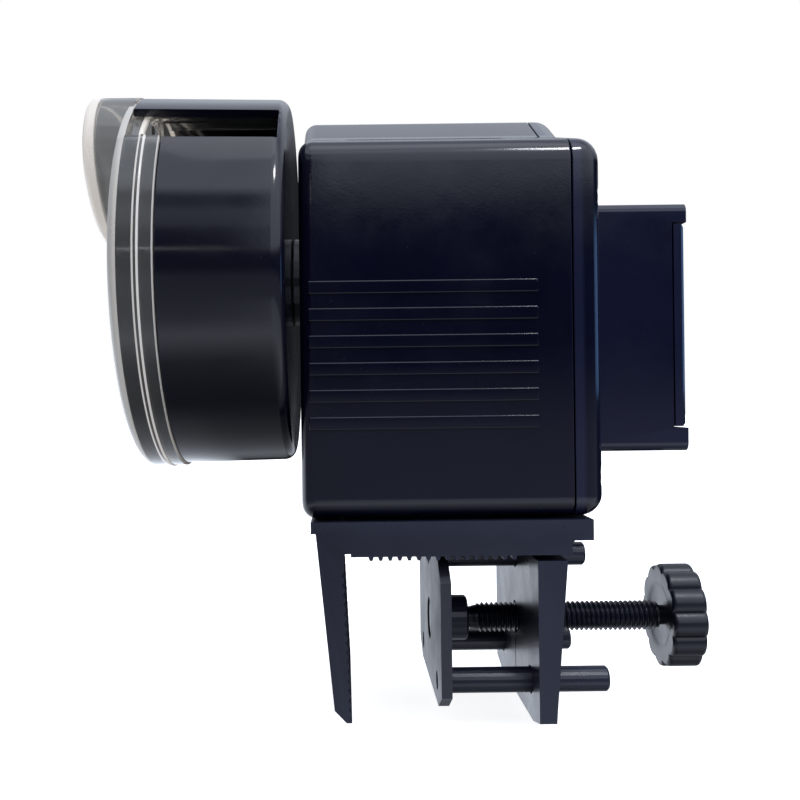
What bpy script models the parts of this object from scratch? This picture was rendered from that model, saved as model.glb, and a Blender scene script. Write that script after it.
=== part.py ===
"""Automatic aquarium feeder: a turning food drum on a geared housing, held on a tank rim by a screw clamp.

Millimetres below, metres in Blender. +X runs along the drum axis towards the clamp knob, -Y is the ribbed
side, +Z is up. The origin is the flat seat under the clamp beam, where the tank rim meets it.
"""

import math

import bmesh
import bpy
from mathutils import Matrix, Vector

MM = 0.001
GAP = 0.3  # clearance between neighbouring pieces

# Housing: a profile across Y and Z, run along X
WALL = 1.8
HALF_DEPTH = 24.4
HOUSING_BOTTOM = 6.8
NEAR_TOP = 76.2
PANEL_BEND = (4.2, 84.3)
CREST_Z = 95.3
HOUSING_LEFT = -10.5
SEAM_X = 39.5
COVER_RIGHT = 45.4
END_RADIUS = 2.6
COVER_RADIUS = 4.2
ARC_STEPS = 4

# Ribs on the near side
RIB_COUNT = 6
RIB_PITCH = 4.98
RIB_LOW = 23.3
RIB_HEIGHT = 2.4
RIB_LEFT = -8.2
RIB_RIGHT = 33.2
RIB_PROUD = 0.25

# Drum
AXIS_Z = 53.2
DRUM_R_RIGHT = 36.5
DRUM_R_LEFT = 37.0
DRUM_WALL = 1.5
DRUM_LEFT = -41.1
DRUM_RIGHT = -12.5
DRUM_END_WALL = 1.3
DRUM_STEPS = 64
SLOT_FAR = 35.3  # degrees from the top towards -Y
SLOT_NEAR = 51.5
SLOT_RIGHT = -13.9

# Clear lid and portion shutter
LID_LEFT = -42.8
LID_RIGHT = -34.7
LID_R = 37.4
LID_WALL = 0.9
LID_FILLET = 2.2
LID_CUT_R = 36.4
SKIRT_END = 52.0  # the skirt stops this many degrees either side of the top
SEAT_R = 36.2  # the drum's mouth is let in to this radius under the skirt
BEAD_X = -37.7
BEAD_PROUD = 0.25
LOBE_LEFT = -51.0
LOBE_RIM_R = 37.2
LOBE_CORNER_R = 11.5
LOBE_CORNER_ANGLE = 21.1
LOBE_WALL = 1.2
LOBE_END_WALL = 2.0
SHUTTER_R = 35.0
SHUTTER_RIGHT = -38.5
SHUTTER_WALL = 0.9
SHUTTER_FROM = -8.0
SHUTTER_TO = 33.0

# Drive train
MODULE = 0.8
OUTPUT_TEETH = 36
IDLER_TEETH = 30
PINION_TEETH = 12
CENTRE_SLACK = 0.1
MOTOR_ANGLE = -60.0  # direction of the motor from the idler, degrees from +Y
SHAFT_R = 2.5

# Gear train and fixings, as (Y, Z) points; POSTS carry the gear plate
SHAFT = (0.0, AXIS_Z)
IDLER = (0.0, AXIS_Z - MODULE * (OUTPUT_TEETH + PINION_TEETH) / 2 - CENTRE_SLACK)
MOTOR_REACH = MODULE * (IDLER_TEETH + PINION_TEETH) / 2 + CENTRE_SLACK
MOTOR = (
    IDLER[0] + MOTOR_REACH * math.cos(math.radians(MOTOR_ANGLE)),
    IDLER[1] + MOTOR_REACH * math.sin(math.radians(MOTOR_ANGLE)),
)
PLATE_X = 8.0
PLATE_THICK = 1.4
FIRST_GEARS = (-1.5, 2.5)
SECOND_GEARS = (3.5, 6.5)
POSTS = [(-18.0, 16.0), (18.0, 16.0), (-18.0, 62.0), (18.0, 62.0)]
COVER_SCREWS = [(-19.4, 14.0), (19.4, 14.0), (-19.4, 66.0), (19.4, 66.0)]
BEAM_SCREWS = [(-2.0, -5.0), (26.0, -5.0)]  # (X, Y)
SHANK_R = 1.3
POST_R = 2.4
BOSS_R = 3.3
HEAD_R = 2.5
WELL_DEPTH = 1.1

# Battery box
BOX_LEFT = 45.7
BOX_SPLIT = 61.9
BOX_RIGHT = 64.7
DOOR_RIGHT = 64.3
BOX_HALF = 12.5
BOX_LOW = 18.1
BOX_HIGH = 66.5
DOOR_LOW = 22.9
DOOR_HIGH = 62.4
BOX_WALL = 1.0
CELL_R = 5.2
CELL_X = 54.2
CELL_Y = 5.6

# Control panel, on the gentle slope of the housing's top
PANEL_X = 14.5
PANEL_Y = -8.5
BUTTON_STEP = 10.5
BUTTON_V = -6.0
LENS_V = 4.8
LENS_SIZE = (31.0, 8.6)
BUTTON_SIZE = (7.4, 4.4)
BUTTONS = ["set_button", "hour_button", "minute_button", "feed_button"]
CUT_REACH = 1.0  # how far a cutter runs past the face it opens

# Clamp
BEAM_TOP = 6.4
BEAM_LOW = 1.8
BEAM_RIGHT = 42.9
JAW_TIP_X = -1.7
JAW_ROOT_X = -2.9
RACK_LEFT = 1.6
RACK_TEETH = 16
SEAT_LEFT = -1.6  # the flat seat starts clear of the jaw, past a small relief groove
SEAT_RELIEF = 0.6
RACK_PITCH = 1.75
RACK_DEPTH = 0.7
JAW_TIP_Z = -30.3
RAIL_Y = 13.0
SCREW_Z = -16.7
SCREW_R = 3.05
PLATE_LEFT = 14.7
PLATE_RIGHT = 16.7
ROD_R = 2.4
RODS = {"guide_rod_top": (0.0, -3.7), "guide_rod_near": (-15.6, -25.2), "guide_rod_far": (15.6, -25.2)}
ROD_RIGHT = 47.4
JAW_LEFT = 32.6
KNOB_X = (62.3, 69.2)
KNOB_R = 10.6
KNOB_LOBES = 12


def material(name, colour, roughness, metallic=0.0, transmission=0.0):
    """A Principled material."""
    made = bpy.data.materials.new(name)
    made.use_nodes = True
    shader = made.node_tree.nodes["Principled BSDF"]
    shader.inputs["Base Color"].default_value = (*colour, 1.0)
    shader.inputs["Roughness"].default_value = roughness
    shader.inputs["Metallic"].default_value = metallic
    shader.inputs["Transmission Weight"].default_value = transmission
    return made


def black_plastic(name):
    return material(name, (0.012, 0.014, 0.02), 0.18)


def satin_black(name):
    return material(name, (0.02, 0.022, 0.03), 0.42)


def clear_plastic(name):
    return material(name, (0.92, 0.94, 0.95), 0.08, transmission=0.9)


def steel(name):
    return material(name, (0.6, 0.6, 0.62), 0.3, metallic=1.0)


def white_nylon(name):
    return material(name, (0.8, 0.8, 0.76), 0.45)


def make_object(name, bm, surface, origin=(0.0, 0.0, 0.0)):
    """Turns millimetre geometry into an object whose origin is the given point."""
    bmesh.ops.recalc_face_normals(bm, faces=bm.faces)
    shift = Matrix.Translation(-Vector(origin))
    bmesh.ops.transform(bm, matrix=Matrix.Scale(MM, 4) @ shift, verts=bm.verts)
    mesh = bpy.data.meshes.new(name)
    bm.to_mesh(mesh)
    bm.free()
    mesh.shade_smooth()
    mesh.set_sharp_from_angle(angle=math.radians(32))
    made = bpy.data.objects.new(name, mesh)
    made.location = Vector(origin) * MM
    bpy.context.scene.collection.objects.link(made)
    if surface:
        mesh.materials.append(surface)
    return made


def place(plane, a, b, along):
    """A point from two profile coordinates and the coordinate along the extrusion axis."""
    return {"X": (along, a, b), "Y": (a, along, b), "Z": (a, b, along)}[plane]


def skin(bm, rings):
    """Bridges equal rings of vertices and closes both ends with a face."""
    for ring, following in zip(rings, rings[1:]):
        count = len(ring)
        for i in range(count):
            j = (i + 1) % count
            bm.faces.new((ring[i], ring[j], following[j], following[i]))
    bm.faces.new(rings[0])
    bm.faces.new(rings[-1])


def loft(name, sections, surface, plane="X", origin=(0.0, 0.0, 0.0)):
    """A solid through sections, each (position along the axis, outline)."""
    bm = bmesh.new()
    rings = [[bm.verts.new(place(plane, a, b, along)) for a, b in outline] for along, outline in sections]
    skin(bm, rings)
    return make_object(name, bm, surface, origin)


def prism(name, outline, low, high, surface=None, plane="X", origin=(0.0, 0.0, 0.0)):
    return loft(name, [(low, outline), (high, outline)], surface, plane, origin)


def rectangle(a_low, a_high, b_low, b_high):
    return [(a_low, b_low), (a_high, b_low), (a_high, b_high), (a_low, b_high)]


def box(name, low, high, surface=None):
    return prism(name, rectangle(low[1], high[1], low[2], high[2]), low[0], high[0], surface)


def circle(centre, radius, steps=24):
    turn = 2 * math.pi / steps
    angles = [i * turn for i in range(steps)]
    return [(centre[0] + radius * math.cos(a), centre[1] + radius * math.sin(a)) for a in angles]


def turned(name, profile, centre, surface=None, steps=24, origin=None):
    """A solid turned about a line along X; the profile is (x, radius), from axis to axis or a closed loop."""
    bm = bmesh.new()
    rings = []
    for x, radius in profile:
        if radius == 0:
            rings.append([bm.verts.new((x, centre[0], centre[1]))])
        else:
            rings.append([bm.verts.new((x, a, b)) for a, b in circle(centre, radius, steps)])
    closed = profile[0][1] > 0
    pairs = list(zip(rings, rings[1:])) + ([(rings[-1], rings[0])] if closed else [])
    for first, second in pairs:
        for i in range(steps):
            j = (i + 1) % steps
            corners = [first[i % len(first)], first[j % len(first)]]
            corners += [second[j % len(second)], second[i % len(second)]]
            bm.faces.new(list(dict.fromkeys(corners)))
    return make_object(name, bm, surface, origin or (0.0, centre[0], centre[1]))


def rod(name, x_low, x_high, radius, centre, surface=None, steps=24, chamfer=0.0):
    profile = [(x_low, 0), (x_low, radius - chamfer), (x_low + chamfer, radius)]
    profile += [(x_high - chamfer, radius), (x_high, radius - chamfer), (x_high, 0)]
    return turned(name, list(dict.fromkeys(profile)), centre, surface, steps)


def fixing(name, start, seat, head, centre):
    """A pan-head screw along X, from the shank's start to the head's seat and top."""
    profile = [(start, 0), (start, SHANK_R), (seat, SHANK_R), (seat, HEAD_R), (head, HEAD_R - 0.3), (head, 0)]
    return turned(name, profile, centre, steel(name), 16)


def combine(target, tool, operation="DIFFERENCE"):
    """Applies one Boolean and removes the tool."""
    step = target.modifiers.new("cut", "BOOLEAN")
    step.operation = operation
    step.solver = "EXACT"
    step.object = tool
    bpy.context.view_layer.update()
    graph = bpy.context.evaluated_depsgraph_get()
    result = bpy.data.meshes.new_from_object(target.evaluated_get(graph))
    target.modifiers.clear()
    old = target.data
    target.data = result
    result.name = target.name
    bpy.data.meshes.remove(old)
    bpy.data.objects.remove(tool)
    return target


def rounded(corners, inset=0.0, steps=ARC_STEPS):
    """An anticlockwise outline from (a, b, radius) corners, moved inwards by inset, every corner an arc."""
    count = len(corners)
    lines = []
    for i in range(count):
        start = Vector(corners[i][:2])
        way = (Vector(corners[(i + 1) % count][:2]) - start).normalized()
        lines.append((start + Vector((-way.y, way.x)) * inset, way))
    outline = []
    for i in range(count):
        (p, u), (q, v) = lines[i - 1], lines[i]
        turn = u.x * v.y - u.y * v.x
        apex = p + u * (((q - p).x * v.y - (q - p).y * v.x) / turn)
        radius = max(corners[i][2] - inset, 0.3) if turn > 0 else corners[i][2] + inset
        sweep = math.atan2(turn, u.dot(v))
        start = apex - u * radius * math.tan(abs(sweep) / 2)
        centre = start + Vector((-u.y, u.x)) * math.copysign(radius, turn)
        first = math.atan2(-math.copysign(1, turn) * u.x, math.copysign(1, turn) * u.y)
        for k in range(steps + 1):
            angle = first + sweep * k / steps
            outline.append((centre.x + radius * math.cos(angle), centre.y + radius * math.sin(angle)))
    return outline


def housing_outline(inset=0.0):
    """Flat near face, a gently sloped control panel, then a steeper rise to the crest at the far side."""
    corners = [
        (-HALF_DEPTH, HOUSING_BOTTOM, 4.0),
        (HALF_DEPTH, HOUSING_BOTTOM, 4.0),
        (HALF_DEPTH, CREST_Z, 6.0),
        (*PANEL_BEND, 15.0),
        (-HALF_DEPTH, NEAR_TOP, 5.0),
    ]
    return rounded(corners, inset)


def quarter(x_end, inward, radius, outline, extra=0.0, steps=4):
    """Sections of a rounded end, from the flat face to the full outline."""
    angles = [math.pi / 2 * k / steps for k in range(steps, -1, -1)]
    return [
        (x_end + inward * radius * (1 - math.sin(a)), outline(extra + radius * (1 - math.cos(a))))
        for a in angles
    ]


def cup(name, open_x, closed_x, radius, wall, outline, surface):
    """A hollow shell with rounded closed end and an open end."""
    inward = 1 if open_x > closed_x else -1
    outer = quarter(closed_x, inward, radius, outline)
    inner = quarter(closed_x + inward * wall, inward, max(radius - wall, 0.4), outline, extra=wall)
    sections = inner + [(open_x, outline(wall)), (open_x, outline(0.0))] + outer[::-1]
    return loft(name, sections, surface)


def drum_point(radius, degrees):
    """A point in the Y, Z plane, by its angle from the top towards -Y."""
    angle = math.radians(degrees)
    return (-radius * math.sin(angle), AXIS_Z + radius * math.cos(angle))


def sector(inner, outer, start, end, steps=12):
    angles = [start + (end - start) * k / steps for k in range(steps + 1)]
    return [drum_point(outer, a) for a in angles] + [drum_point(inner, a) for a in reversed(angles)]


def build_shell():
    shell = cup("main_shell", SEAM_X, HOUSING_LEFT, END_RADIUS, WALL, housing_outline, black_plastic("shell"))
    inside = HOUSING_LEFT + WALL
    for i, (y, z) in enumerate(POSTS):
        combine(shell, rod(f"post_{i}", inside - 0.5, PLATE_X - GAP, POST_R, (y, z), steps=12), "UNION")
        hole = rod(f"post_hole_{i}", PLATE_X - 7, PLATE_X + CUT_REACH, SHANK_R + GAP, (y, z), steps=12)
        combine(shell, hole)
    for i, (y, z) in enumerate(COVER_SCREWS):
        combine(shell, rod(f"boss_{i}", 31.4, SEAM_X - 0.2, BOSS_R, (y, z), steps=12), "UNION")
        combine(shell, rod(f"boss_hole_{i}", 32.6, SEAM_X + CUT_REACH, SHANK_R + GAP, (y, z), steps=12))
    combine(shell, rod("bush_hole", HOUSING_LEFT - 1, inside + 1, 4.5, (0, AXIS_Z)))
    for x, y in BEAM_SCREWS:
        combine(shell, prism("hole", circle((x, y), SHANK_R + 0.4, 12), 5.0, 10.0, plane="Z"))
    for cutter in panel_cutters():
        combine(shell, cutter)
    for i in range(RIB_COUNT):
        z = RIB_LOW + i * RIB_PITCH
        outline = rectangle(RIB_LEFT, RIB_RIGHT, z, z + RIB_HEIGHT)
        rib = prism(f"rib_{i}", outline, -HALF_DEPTH - RIB_PROUD, -HALF_DEPTH + 0.8, plane="Y")
        combine(shell, rib, "UNION")


def build_end_cover():
    surface = black_plastic("cover")
    cover = cup("end_cover", SEAM_X + GAP, COVER_RIGHT, COVER_RADIUS, WALL, housing_outline, surface)
    seat = COVER_RIGHT - WELL_DEPTH
    for i, centre in enumerate(COVER_SCREWS):
        combine(cover, rod("well", seat, COVER_RIGHT + CUT_REACH, HEAD_R + 0.4, centre, steps=16))
        combine(cover, rod("hole", SEAM_X, COVER_RIGHT + CUT_REACH, SHANK_R + GAP, centre, steps=12))
        fixing(f"cover_screw_{i + 1}", 33.0, seat + GAP, COVER_RIGHT - 0.1, centre)
    combine(cover, box("wires", (SEAM_X, -4, 40), (COVER_RIGHT + CUT_REACH, 4, 44)))


def panel_frame():
    """The control panel's own frame: u along X, v up the slope, w out of the surface."""
    rise = PANEL_BEND[1] - NEAR_TOP
    tilt = math.atan2(rise, PANEL_BEND[0] + HALF_DEPTH)
    height = NEAR_TOP + (PANEL_Y + HALF_DEPTH) * math.tan(tilt)
    return Matrix.Translation((PANEL_X, PANEL_Y, height)) @ Matrix.Rotation(tilt, 4, "X")


def panel_block(name, centre, size, w_low, w_high, radius, surface=None):
    """A rounded block set in the panel, its origin on the panel's surface at its own centre."""
    u, v = centre
    half_u, half_v = size[0] / 2, size[1] / 2
    corners = [(u - half_u, v - half_v, radius), (u + half_u, v - half_v, radius)]
    corners += [(u + half_u, v + half_v, radius), (u - half_u, v + half_v, radius)]
    outline = rounded(corners, steps=3)
    bm = bmesh.new()
    skin(bm, [[bm.verts.new((a, b, w)) for a, b in outline] for w in (w_low, w_high)])
    bmesh.ops.transform(bm, matrix=panel_frame(), verts=bm.verts)
    return make_object(name, bm, surface, panel_frame() @ Vector((u, v, 0)))


def panel_cutters():
    grown = [side + 2 * GAP for side in LENS_SIZE]
    cutters = [panel_block("lens_hole", (0, LENS_V), grown, -3, 2, 1.3)]
    grown = [side + 2 * GAP for side in BUTTON_SIZE]
    for i in range(len(BUTTONS)):
        cutters.append(panel_block(f"button_hole_{i}", (button_u(i), BUTTON_V), grown, -3, 2, 1.5))
    return cutters


def button_u(i):
    return (i - (len(BUTTONS) - 1) / 2) * BUTTON_STEP


def build_panel():
    smoked = material("lens", (0.02, 0.03, 0.04), 0.05)
    panel_block("display_lens", (0, LENS_V), LENS_SIZE, -1.6, -0.05, 1.0, smoked)
    lcd = (LENS_SIZE[0] - 2, LENS_SIZE[1] - 1.2)
    panel_block("lcd_module", (0, LENS_V), lcd, -4.4, -2.0, 0.4, material("lcd", (0.45, 0.5, 0.42), 0.3))
    board = (44.0, 21.0)
    panel_block("control_board", (0, -0.6), board, -6.6, -5.4, 0.6, material("board", (0.02, 0.2, 0.08), 0.4))
    keypad = (42.0, 8.0)
    rubber = material("keypad", (0.3, 0.3, 0.3), 0.7)
    panel_block("rubber_keypad", (0, BUTTON_V - 0.3), keypad, -5.1, -4.1, 1.0, rubber)
    for i, name in enumerate(BUTTONS):
        centre = (button_u(i), BUTTON_V)
        button = panel_block(name, centre, BUTTON_SIZE, -2.3, -0.1, 1.2, satin_black(name))
        flange = [side + 1.6 for side in BUTTON_SIZE]
        combine(button, panel_block("flange", centre, flange, -2.8, -2.1, 1.4), "UNION")


def gear_outline(teeth, centre, phase):
    """An involute spur gear, three radii on each flank, thinned for running backlash."""
    pitch_r = MODULE * teeth / 2
    base_r = pitch_r * math.cos(math.radians(20))
    half_pitch = math.pi / (2 * teeth) * 0.84
    flank = []
    for radius in (pitch_r - 1.15 * MODULE, pitch_r, pitch_r + 0.85 * MODULE):
        roll = math.acos(min(base_r / radius, 1.0))
        start = math.acos(base_r / pitch_r)
        flank.append((radius, half_pitch + (math.tan(start) - start) - (math.tan(roll) - roll)))
    outline = []
    for i in range(teeth):
        middle = phase + 2 * math.pi * i / teeth
        around = [(r, middle - half) for r, half in flank]
        around += [(r, middle + half) for r, half in reversed(flank)]
        outline += [(centre[0] + r * math.cos(a), centre[1] + r * math.sin(a)) for r, a in around]
    return outline


def gear(name, teeth, x_low, x_high, centre, phase, bore, surface):
    made = prism(name, gear_outline(teeth, centre, phase), x_low, x_high, surface, origin=(0, *centre))
    return combine(made, rod("bore", x_low - 1, x_high + 1, bore, centre, steps=20))


def build_drive():
    """Motor pinion, compound idler and output gear, from the motor up to the drum shaft."""
    down = math.radians(-90)
    to_motor = math.radians(MOTOR_ANGLE)
    gear("output_gear", OUTPUT_TEETH, *FIRST_GEARS, SHAFT, down, SHAFT_R + GAP, white_nylon("output_gear"))
    phase = down + math.pi + math.pi / PINION_TEETH
    low, high = FIRST_GEARS[0], SECOND_GEARS[0] + 0.5
    idler = gear("idler_gear", PINION_TEETH, low, high, IDLER, phase, 1.8, white_nylon("idler_gear"))
    wheel = gear("idler_wheel", IDLER_TEETH, *SECOND_GEARS, IDLER, to_motor, 1.8, None)
    combine(idler, wheel, "UNION")
    phase = to_motor + math.pi + math.pi / PINION_TEETH
    brass = material("motor_pinion", (0.75, 0.6, 0.3), 0.3, 1.0)
    gear("motor_pinion", PINION_TEETH, *SECOND_GEARS, MOTOR, phase, 1.3, brass)
    rod("idler_pin", -3.5, PLATE_X + 2.0, 1.5, IDLER, steel("idler_pin"), 16, 0.2)
    shaft = [(DRUM_RIGHT + 1.7, 0), (DRUM_RIGHT + 1.7, SHAFT_R), (PLATE_X + 1.5, SHAFT_R), (PLATE_X + 1.5, 0)]
    turned("drive_shaft", shaft, SHAFT, steel("drive_shaft"), 20)
    low, high = DRUM_RIGHT + GAP, HOUSING_LEFT - GAP
    coupling = rod("drum_coupling", low, high, 9.0, SHAFT, satin_black("coupling"), 32)
    key = box("key", (DRUM_RIGHT - 5, -4.5, AXIS_Z - 4.5), (DRUM_RIGHT + 1, 4.5, AXIS_Z + 4.5))
    combine(coupling, key, "UNION")
    combine(coupling, rod("bore", DRUM_RIGHT + 1.4, HOUSING_LEFT + 1, SHAFT_R + GAP, SHAFT, steps=20))
    bush = [(-10.3, 2.8), (-10.3, 4.2), (-8.4, 4.2), (-8.4, 6.0), (-7.2, 6.0), (-7.2, 2.8)]
    turned("shaft_bush", bush, SHAFT, material("bush", (0.6, 0.42, 0.2), 0.35, 1.0), 24)
    low, high = (PLATE_X, -21.0, 12.5), (PLATE_X + PLATE_THICK, 21.0, 66.0)
    plate = box("gear_plate", low, high, satin_black("gear_plate"))
    holes = [(SHAFT, 2.8), (IDLER, 1.8), (MOTOR, 4.2)] + [(post, SHANK_R + GAP) for post in POSTS]
    for (y, z), radius in holes:
        combine(plate, rod("hole", PLATE_X - 1, PLATE_X + 3, radius, (y, z), steps=20))
    for i, post in enumerate(POSTS):
        seat = PLATE_X + PLATE_THICK + GAP
        fixing(f"plate_screw_{i + 1}", PLATE_X - 5, seat, seat + 1.2, post)
    x = PLATE_X
    profile = [(4.2, 0), (4.2, 1.0), (x + 0.4, 1.0), (x + 0.4, 3.8), (x + 1.7, 3.8)]
    profile += [(x + 1.7, 7.1), (x + 2.0, 7.4)]
    profile += [(x + 21, 7.4), (x + 21.6, 6.8), (x + 21.6, 3.0), (x + 23.4, 3.0), (x + 23.4, 0)]
    turned("gear_motor", profile, MOTOR, steel("gear_motor"), 32)
    cam = prism("position_cam", cam_outline(), -6.0, -3.6, white_nylon("position_cam"), origin=(0, *SHAFT))
    combine(cam, rod("bore", -8, -2, SHAFT_R + GAP, SHAFT, steps=20))
    switch = box("position_switch", (-8.2, -20.5, 47.0), (-3.0, -12.6, 59.4), satin_black("switch"))
    combine(switch, box("lever", (-5.6, -13.5, 51.0), (-4.0, -10.3, 54.0)), "UNION")


def cam_outline():
    """A round cam with one flat that marks the drum's home position."""
    start = math.radians(30)
    sweep = 2 * math.pi - 2 * start
    return [
        (SHAFT[0] + 9.0 * math.cos(start + sweep * i / 28), SHAFT[1] + 9.0 * math.sin(start + sweep * i / 28))
        for i in range(29)
    ]


def build_drum():
    right, left = DRUM_RIGHT, DRUM_LEFT
    inner_right = right - DRUM_END_WALL
    corner = [
        (right - 2.0 * (1 - math.cos(a)), DRUM_R_RIGHT - 2.0 * (1 - math.sin(a)))
        for a in [math.pi / 2 * k / 4 for k in range(5)]
    ]
    profile = [(inner_right - 5.0, 0), (inner_right - 5.0, 9.0), (inner_right, 9.0)]
    profile += [(inner_right, DRUM_R_RIGHT - DRUM_WALL), (left, DRUM_R_LEFT - DRUM_WALL), (left, DRUM_R_LEFT)]
    profile += corner[::-1] + [(right, 0)]
    drum = turned("drum_body", profile, SHAFT, black_plastic("drum"), DRUM_STEPS)
    slot = prism("slot", sector(33.0, 39.0, SLOT_FAR, SLOT_NEAR), left - 1.0, SLOT_RIGHT)
    combine(drum, slot)
    step = sector(SEAT_R, 44.0, SLOT_NEAR - 1.5, 360.5 - SKIRT_END, 46)
    combine(drum, prism("skirt_seat", step, left - 1.0, LID_RIGHT + GAP))
    combine(drum, box("socket", (right - 5.4, -4.8, AXIS_Z - 4.8), (right + 1, 4.8, AXIS_Z + 4.8)))


def lobe_outline(inset=0.0):
    """The lid's thumb lobe: the rim's arc above, two tighter corner arcs, and a wide arc below."""
    rim, corner = LOBE_RIM_R - inset, LOBE_CORNER_R - inset
    tilt = math.radians(LOBE_CORNER_ANGLE)
    arm = LOBE_RIM_R - LOBE_CORNER_R
    centre = Vector((-arm * math.sin(tilt), arm * math.cos(tilt)))
    low = Vector((0.0, 30.0))
    reach = (centre - low).length
    low_start = math.atan2((centre - low).y, (centre - low).x)
    points = [(rim * math.sin(t), rim * math.cos(t)) for t in [tilt - 2 * tilt * k / 10 for k in range(11)]]
    side_start = math.pi / 2 + tilt
    side = [side_start + (low_start % (2 * math.pi) - side_start) * k / 9 for k in range(1, 10)]
    points += [(centre.x + corner * math.cos(a), centre.y + corner * math.sin(a)) for a in side]
    bottom_r = reach + corner
    span = 3 * math.pi - 2 * (low_start % (2 * math.pi))
    bottom = [(low_start % (2 * math.pi)) + span * k / 10 for k in range(1, 11)]
    points += [(low.x + bottom_r * math.cos(a), low.y + bottom_r * math.sin(a)) for a in bottom]
    points += [(-centre.x - corner * math.cos(a), centre.y + corner * math.sin(a)) for a in side[-2::-1]]
    return [(y, AXIS_Z + z) for y, z in points]


def build_lid():
    left, right, inner = LID_LEFT, LID_RIGHT, LID_R - LID_WALL
    angles = [math.pi / 2 * k / 4 for k in range(5)]
    fillet = [
        (left + LID_FILLET * (1 - math.cos(a)), LID_R - LID_FILLET * (1 - math.sin(a))) for a in angles
    ]
    profile = [(left + 1.3, 0), (left + 1.3, inner), (right, inner), (right, LID_R), (BEAD_X + 0.6, LID_R)]
    profile += [(BEAD_X + 0.3, LID_R + BEAD_PROUD), (BEAD_X - 0.3, LID_R + BEAD_PROUD), (BEAD_X - 0.6, LID_R)]
    profile += fillet[::-1] + [(left, 0)]
    lid = turned("drum_lid", profile, SHAFT, clear_plastic("lid"), DRUM_STEPS)
    combine(lid, prism("rim_cut", sector(LID_CUT_R, 44.0, -SKIRT_END, SKIRT_END, 16), left - 1, right + 1))
    edge = DRUM_LEFT - 0.6
    sections = quarter(LOBE_LEFT, 1, 1.2, lobe_outline) + [(edge, lobe_outline())]
    combine(lid, loft("lobe", sections, None), "UNION")
    combine(lid, prism("lobe_hollow", lobe_outline(LOBE_WALL), LOBE_LEFT + LOBE_END_WALL, right + 2))


def build_shutter():
    """A clear sleeve in the drum mouth, with a curved blade to cover the slot and a finger tab."""
    left = DRUM_LEFT - GAP
    inner, right = SHUTTER_R - SHUTTER_WALL, SHUTTER_RIGHT
    ring = [(left, inner), (left, SHUTTER_R), (right, SHUTTER_R), (right, inner)]
    shutter = turned("portion_shutter", ring, SHAFT, clear_plastic("shutter"), DRUM_STEPS)
    blade_r = DRUM_R_RIGHT - DRUM_WALL - 0.4
    blade = sector(blade_r - SHUTTER_WALL, blade_r, SHUTTER_FROM, SHUTTER_TO, 10)
    combine(shutter, prism("blade", blade, left + 0.3, DRUM_RIGHT - DRUM_END_WALL - 0.4), "UNION")
    combine(shutter, prism("tab", sector(27.0, 34.6, -4, 4, 2), left, left + 1.6), "UNION")


def build_batteries():
    corners = rectangle(-BOX_HALF, BOX_HALF, BOX_LOW, BOX_HIGH)
    walls = rounded([(y, z, 1.6) for y, z in corners])
    battery_box = prism("battery_box", walls, BOX_LEFT, BOX_RIGHT, black_plastic("battery_box"))
    combine(battery_box, box("mouth", (BOX_SPLIT, -20, DOOR_LOW - GAP), (80, 20, DOOR_HIGH + GAP)))
    y, low, high = BOX_HALF - BOX_WALL, BOX_LOW + BOX_WALL, BOX_HIGH - BOX_WALL
    combine(battery_box, box("bay", (BOX_LEFT + BOX_WALL, -y, low), (BOX_SPLIT - GAP, y, high)))
    combine(battery_box, box("way", (BOX_SPLIT - 2, -y, DOOR_LOW), (BOX_SPLIT + 1, y, DOOR_HIGH)))
    combine(battery_box, box("wires", (BOX_LEFT - 1, -3, 40.5), (BOX_LEFT + 2, 3, 43.5)))

    def door_outline(inset=0.0):
        return rectangle(-BOX_HALF + inset, BOX_HALF - inset, DOOR_LOW + inset, DOOR_HIGH - inset)

    sections = [(DOOR_RIGHT - 1.4, door_outline(1.2)), (BOX_SPLIT + GAP, door_outline(1.2))]
    sections += [(BOX_SPLIT + GAP, door_outline()), (DOOR_RIGHT - 0.6, door_outline())]
    sections += [(DOOR_RIGHT, door_outline(0.6))]
    loft("battery_door", sections, black_plastic("battery_door"))
    for i, side in enumerate((-1, 1)):
        y, up = side * CELL_Y, i == 0
        body = [(20.5, 0), (20.5, 4.8), (20.9, CELL_R), (63.2, CELL_R), (63.5, 4.8)]
        body += [(63.5, 1.9), (64.5, 1.9), (64.5, 0)]
        if not up:
            body = [(85.0 - z, r) for z, r in reversed(body)]
        jacket = material(f"cell_{i}", (0.1, 0.12, 0.13), 0.3, 0.6)
        cell = turned(f"battery_cell_{i + 1}", body, (0, 0), jacket, 28)
        cell.rotation_euler = (0, -math.pi / 2, 0)
        cell.location = (CELL_X * MM, y * MM, 0)
        low, high = (CELL_X - 3, y - 3, 19.4), (CELL_X + 3, y + 3, 20.2)
        leaf = box(f"battery_leaf_{i + 1}", low, high, steel(f"leaf_{i}"))
        combine(leaf, box("relief", (CELL_X - 2, y - 4, 19.2), (CELL_X + 2, y + 4, 19.8)))
    box("battery_link", (CELL_X - 3, -9, 64.8), (CELL_X + 3, 9, 65.2), steel("battery_link"))


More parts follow.
